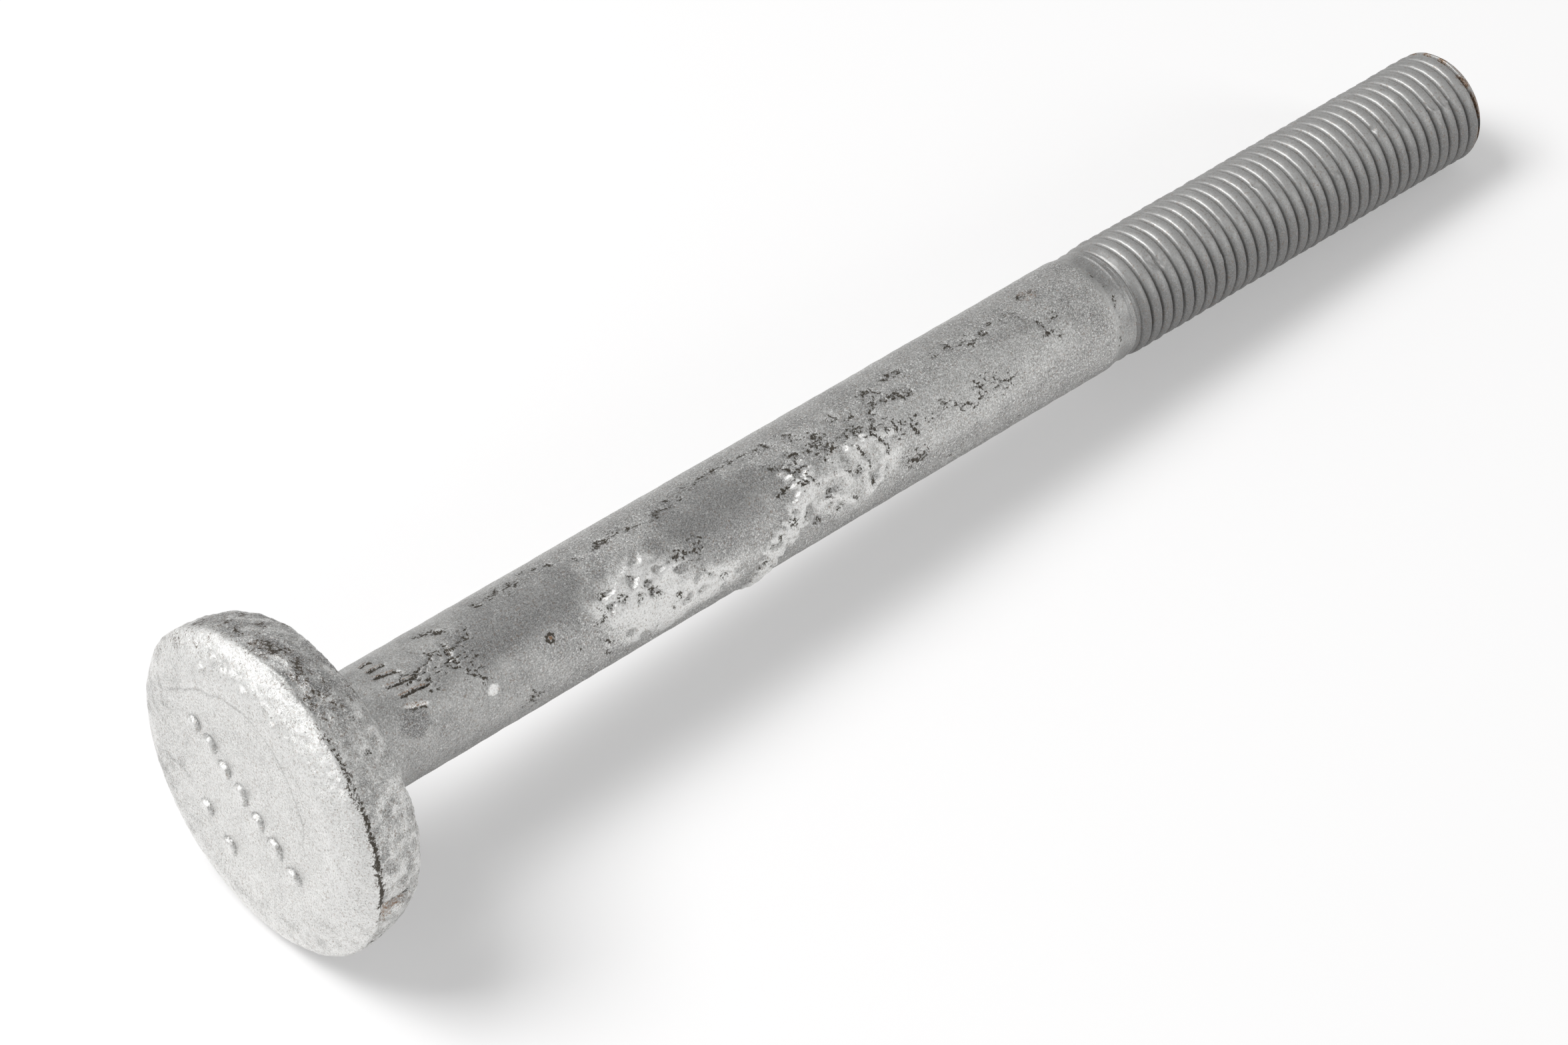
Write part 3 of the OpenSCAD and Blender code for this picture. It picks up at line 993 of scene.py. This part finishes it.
def add_node(tree, kind, inputs=None, **settings):
    """A node with its settings. An input gets a number, a colour or another node's output."""
    node = tree.nodes.new("ShaderNode" + kind)
    for key, value in settings.items():
        setattr(node, key, value)
    for key, value in (inputs or {}).items():
        if isinstance(value, tuple):
            node.inputs[key].default_value = value + (1.0,)
        elif isinstance(value, (int, float)):
            node.inputs[key].default_value = value
        else:
            tree.links.new(value, node.inputs[key])
    return node


def add_noise(tree, where, scale, detail, roughness):
    """Noise between about 0 and 1. Scale counts its lumps in a metre."""
    inputs = {"Vector": where, "Scale": scale, "Detail": detail, "Roughness": roughness}
    return add_node(tree, "TexNoise", inputs).outputs["Fac"]


def add_ramp(tree, source, *stops):
    """A colour that follows the source from stop to stop, each a place and a colour."""
    node = add_node(tree, "ValToRGB", {"Fac": source})
    ramp = node.color_ramp
    while len(ramp.elements) < len(stops):
        ramp.elements.new(0.5)
    for element, (at, colour) in zip(ramp.elements, stops):
        element.position = at
        element.color = colour + (1.0,)
    return node.outputs["Color"]


def add_step(tree, source, low, high, top=1.0):
    """0 up to low and top from high on."""
    return add_ramp(tree, source, (low, BLACK), (high, (top, top, top)))


def add_mix(tree, factor, first, second, blend="MIX"):
    """The first colour where the factor is 0, the second where it is 1."""
    inputs = {0: factor, 6: first, 7: second}
    return add_node(tree, "Mix", inputs, data_type="RGBA", blend_type=blend).outputs[2]


def add_math(tree, operation, *values, clamp=False):
    """The result of an operation on numbers and nodes' outputs."""
    inputs = dict(enumerate(values))
    return add_node(tree, "Math", inputs, operation=operation, use_clamp=clamp).outputs[0]


def add_ragged(tree, share, flaky, low, high):
    """A share of wear, painted light and painted shade alike, whose edge is broken up by fine noise."""
    mixed = add_math(tree, "MULTIPLY_ADD", share, 1.0, flaky)
    return add_step(tree, add_math(tree, "MULTIPLY", mixed, 0.5), low / 2, high / 2)


# Zinc

# Noises, as lumps in a metre, detail and roughness
GRAIN = (2300.0, 6.0, 0.72)
CLOUD = (220.0, 5.0, 0.6)
PINHOLE = (3200.0, 2.0, 0.5)
FLAKE = (2400.0, 4.0, 0.7)
FROST = (4300.0, 3.0, 0.7)
SOOT = (3000.0, 3.0, 0.75)
SPARK = (2700.0, 1.0, 0.5)
# Tones of the grain by place on its noise, and of the same coat where it is even
LIGHT_GRAIN = ((0.34, (0.52, 0.52, 0.505)), (0.66, (0.84, 0.84, 0.825)))
LIGHT_EVEN = (0.68, 0.68, 0.663)
DULL_GRAIN = ((0.34, (0.175, 0.175, 0.175)), (0.66, (0.36, 0.36, 0.355)))
DULL_EVEN = (0.265, 0.265, 0.262)
DARKEST_DULL_AND_SHADE = (0.10, 0.10, 0.10)
HALF_FROST = (0.5, 0.5, 0.5)
BRIGHT_ZINC_AND_HIGHLIGHT = (0.96, 0.96, 0.945)
SOOT_STOPS = ((0.34, (0.62, 0.61, 0.60)), (0.48, (0.96, 0.96, 0.96)), (0.66, WHITE))
SPARK_TONE = (0.86, 0.86, 0.85)
PINHOLE_TONE = (0.16, 0.15, 0.14)
RUST_TONE = (0.30, 0.19, 0.12)
CRACK_AND_SHADE_TONE = (0.085, 0.075, 0.062)
ROUGHNESS = 0.49
ROUGHNESS_WAVER = 0.30
BRIGHT_POLISH = 0.14
EVEN_ROUGHENING = 0.12
BUMP_STRENGTH = 0.55
BUMP_HEIGHT = 0.0003


def read_wear_and_shade(tree, where):
    """The wear with its painted light and shade, and the grit, that the meshes carry."""
    wear_and_shade = add_node(tree, "Attribute", attribute_name="wear_and_shade")
    dark, bright, rust = add_node(tree, "SeparateColor", {"Color": wear_and_shade.outputs["Color"]}).outputs
    grit = add_node(tree, "Attribute", attribute_name="grit").outputs["Fac"]
    flaky = add_step(tree, add_noise(tree, where, *FLAKE), 0.36, 0.62)
    # An even coat has no frost: half of it everywhere instead
    frosty = add_step(tree, add_noise(tree, where, *FROST), 0.38, 0.62)
    frosty = add_mix(tree, grit, HALF_FROST, frosty)
    return SimpleNamespace(dark=add_ragged(tree, dark, flaky, 0.95, 1.3),
                           bright=add_ragged(tree, bright, frosty, 0.30, 1.45),
                           rust=add_ragged(tree, rust, flaky, 0.8, 1.4),
                           dull_and_shade=wear_and_shade.outputs["Alpha"], grit=grit)


def coat_tone(tree, where, grain, wear_and_shade):
    """The coat's colour: light and dull grain in clouds, even where the grit is low, with painted shade
    where the dull share is raised for it.
    """
    light = add_mix(tree, wear_and_shade.grit, LIGHT_EVEN, add_ramp(tree, grain, *LIGHT_GRAIN))
    dull_and_shade = add_mix(tree, wear_and_shade.grit, DULL_EVEN, add_ramp(tree, grain, *DULL_GRAIN))
    patchy = add_step(tree, add_noise(tree, where, *CLOUD), 0.35, 0.65)
    dull_and_shade_share = add_math(tree, "MULTIPLY_ADD", patchy, 0.45, wear_and_shade.dull_and_shade)
    tone = add_mix(tree, add_math(tree, "MULTIPLY", dull_and_shade_share, 0.75), light, dull_and_shade)
    # Where the dull share goes beyond 1 the coat is darker still; on the undersides of the shank and
    # thread this is painted shade
    beyond = add_math(tree, "SUBTRACT", wear_and_shade.dull_and_shade, 1.0, clamp=True)
    return add_mix(tree, beyond, tone, DARKEST_DULL_AND_SHADE)


def add_specks(tree, where, tone, grit):
    """Soot, bright sparks and dark pinholes, all weaker where the grit is low."""
    soot = add_ramp(tree, add_noise(tree, where, *SOOT), *SOOT_STOPS)
    tone = add_mix(tree, grit, tone, soot, "MULTIPLY")
    spark = add_step(tree, add_noise(tree, where, *SPARK), 0.62, 0.70, top=0.9)
    tone = add_mix(tree, add_math(tree, "MULTIPLY", spark, grit), tone, SPARK_TONE)
    pinhole = add_step(tree, add_noise(tree, where, *PINHOLE), 0.64, 0.72, top=0.55)
    return add_mix(tree, add_math(tree, "MULTIPLY", pinhole, grit), tone, PINHOLE_TONE)


def zinc_roughness(tree, grain, wear_and_shade):
    """Roughness that wavers with the grain. Bright zinc is smoother, an even coat rougher."""
    waver = add_math(tree, "MULTIPLY", add_math(tree, "SUBTRACT", grain, 0.5), wear_and_shade.grit)
    rough = add_math(tree, "MULTIPLY_ADD", waver, ROUGHNESS_WAVER, ROUGHNESS)
    polish = add_math(tree, "MULTIPLY", wear_and_shade.bright, BRIGHT_POLISH)
    even = add_math(tree, "SUBTRACT", 1.0, wear_and_shade.grit)
    polish = add_math(tree, "SUBTRACT", polish, add_math(tree, "MULTIPLY", even, EVEN_ROUGHENING))
    return add_math(tree, "SUBTRACT", rough, polish)


def zinc_material():
    """Zinc: grainy or even, light or dull, with rust, dark marks and painted light and shade."""
    material, tree, where = new_material("zinc")
    wear_and_shade = read_wear_and_shade(tree, where)
    grain = add_noise(tree, where, *GRAIN)
    tone = coat_tone(tree, where, grain, wear_and_shade)
    # Bright zinc, and the painted highlights and painted light that the bright share carries
    tone = add_mix(tree, wear_and_shade.bright, tone, BRIGHT_ZINC_AND_HIGHLIGHT)
    tone = add_specks(tree, where, tone, wear_and_shade.grit)
    tone = add_mix(tree, wear_and_shade.rust, tone, RUST_TONE)
    # Dark marks: cracks, pits and flecks, and painted shade in hollows, creases and groove bottoms
    tone = add_mix(tree, wear_and_shade.dark, tone, CRACK_AND_SHADE_TONE)

    strength = add_math(tree, "MULTIPLY", wear_and_shade.grit, BUMP_STRENGTH)
    bump = add_node(tree, "Bump", {"Strength": strength, "Distance": BUMP_HEIGHT, "Height": grain})
    shader = add_node(tree, "BsdfPrincipled", {
        "Base Color": tone, "Metallic": 0.85, "Normal": bump.outputs["Normal"],
        "Roughness": zinc_roughness(tree, grain, wear_and_shade)})
    finish_material(tree, shader.outputs["BSDF"])
    return material


# Floor

FLOOR_HALF = 3.0
FLOOR_CLOUD = (3.0, 2.0, 0.5)
FLOOR_STOPS = ((0.3, (0.905, 0.90, 0.90)), (0.7, (0.92, 0.915, 0.915)))
# A share of plain white lifts the shadow without lighting the bolt
FLOOR_WHITE_SHARE = 0.30


def floor_material():
    """A pale floor, partly plain white to the camera and in what shines."""
    material, tree, where = new_material("floor_white")
    tone = add_ramp(tree, add_noise(tree, where, *FLOOR_CLOUD), *FLOOR_STOPS)
    shader = add_node(tree, "BsdfPrincipled", {
        "Base Color": tone, "Roughness": 0.9, "Specular IOR Level": 0.1})
    rays = add_node(tree, "LightPath")
    seen = add_math(tree, "ADD", rays.outputs["Is Camera Ray"], rays.outputs["Is Glossy Ray"])
    seen = add_math(tree, "ADD", seen, rays.outputs["Is Transmission Ray"])
    white = add_node(tree, "Emission", {"Strength": 1.0})
    share = add_math(tree, "MULTIPLY", seen, FLOOR_WHITE_SHARE)
    blend = add_node(tree, "MixShader", {
        0: share, 1: shader.outputs["BSDF"], 2: white.outputs["Emission"]})
    finish_material(tree, blend.outputs["Shader"])
    return material


def build_floor():
    """The floor that the bolt lies on."""
    half = FLOOR_HALF
    mesh = bpy.data.meshes.new("studio_floor")
    mesh.from_pydata([(-half, -half, 0), (half, -half, 0), (half, half, 0), (-half, half, 0)],
                     [], [(0, 1, 2, 3)])
    mesh.materials.append(floor_material())
    add_object("studio_floor", mesh)


# Light and camera

# Softboxes: place, width and power in watts
SOFTBOXES = {"key": ((-0.66, 0.54, 1.32), 0.80, 21.5), "front": ((0.72, -0.85, 0.42), 0.32, 2.2)}
# The camera looks down at 46 degrees
CAMERA_PLACE = (-0.4257, -0.4429, 0.6336)
CAMERA_FORWARD = (0.46687, 0.51346, -0.71999)
CAMERA_RIGHT = (0.73987, -0.67275, 0.0)


def add_softbox(name, position, size, power):
    """A square white area lamp that looks at the origin."""
    light = bpy.data.lights.new(name, "AREA")
    light.shape = "SQUARE"
    light.size = size
    light.energy = power
    gaze = -Vector(position)
    turn = gaze.to_track_quat("-Z", "Y").to_matrix().to_4x4()
    add_object(name, light).matrix_world = Matrix.Translation(position) @ turn


def build_light():
    """A plain white world and two softboxes."""
    world = bpy.data.worlds.new("studio")
    bpy.context.scene.world = world
    world.use_nodes = True
    back = world.node_tree.nodes["Background"]
    back.inputs["Color"].default_value = WHITE + (1.0,)
    back.inputs["Strength"].default_value = 0.36
    for name, (position, size, power) in SOFTBOXES.items():
        add_softbox(name, position, size, power)


def build_camera():
    """A long lens at the photograph's viewing angle."""
    camera = bpy.data.cameras.new("camera")
    camera.lens = 123.8
    camera.sensor_width = 36.0
    camera.clip_end = 50.0
    forward = Vector(CAMERA_FORWARD).normalized()
    right = Vector(CAMERA_RIGHT).normalized()
    up = right.cross(forward)
    turn = Matrix((right, up, -forward)).transposed().to_4x4()
    eye = add_object("camera", camera)
    eye.matrix_world = Matrix.Translation(CAMERA_PLACE) @ turn
    bpy.context.scene.camera = eye


def build_scene():
    """The bolt on its floor, with its light and camera."""
    bpy.context.scene.view_settings.view_transform = "Standard"
    zinc = zinc_material()
    build_head(zinc)
    build_shank(zinc)
    build_thread(zinc)
    build_floor()
    build_light()
    build_camera()


build_scene()
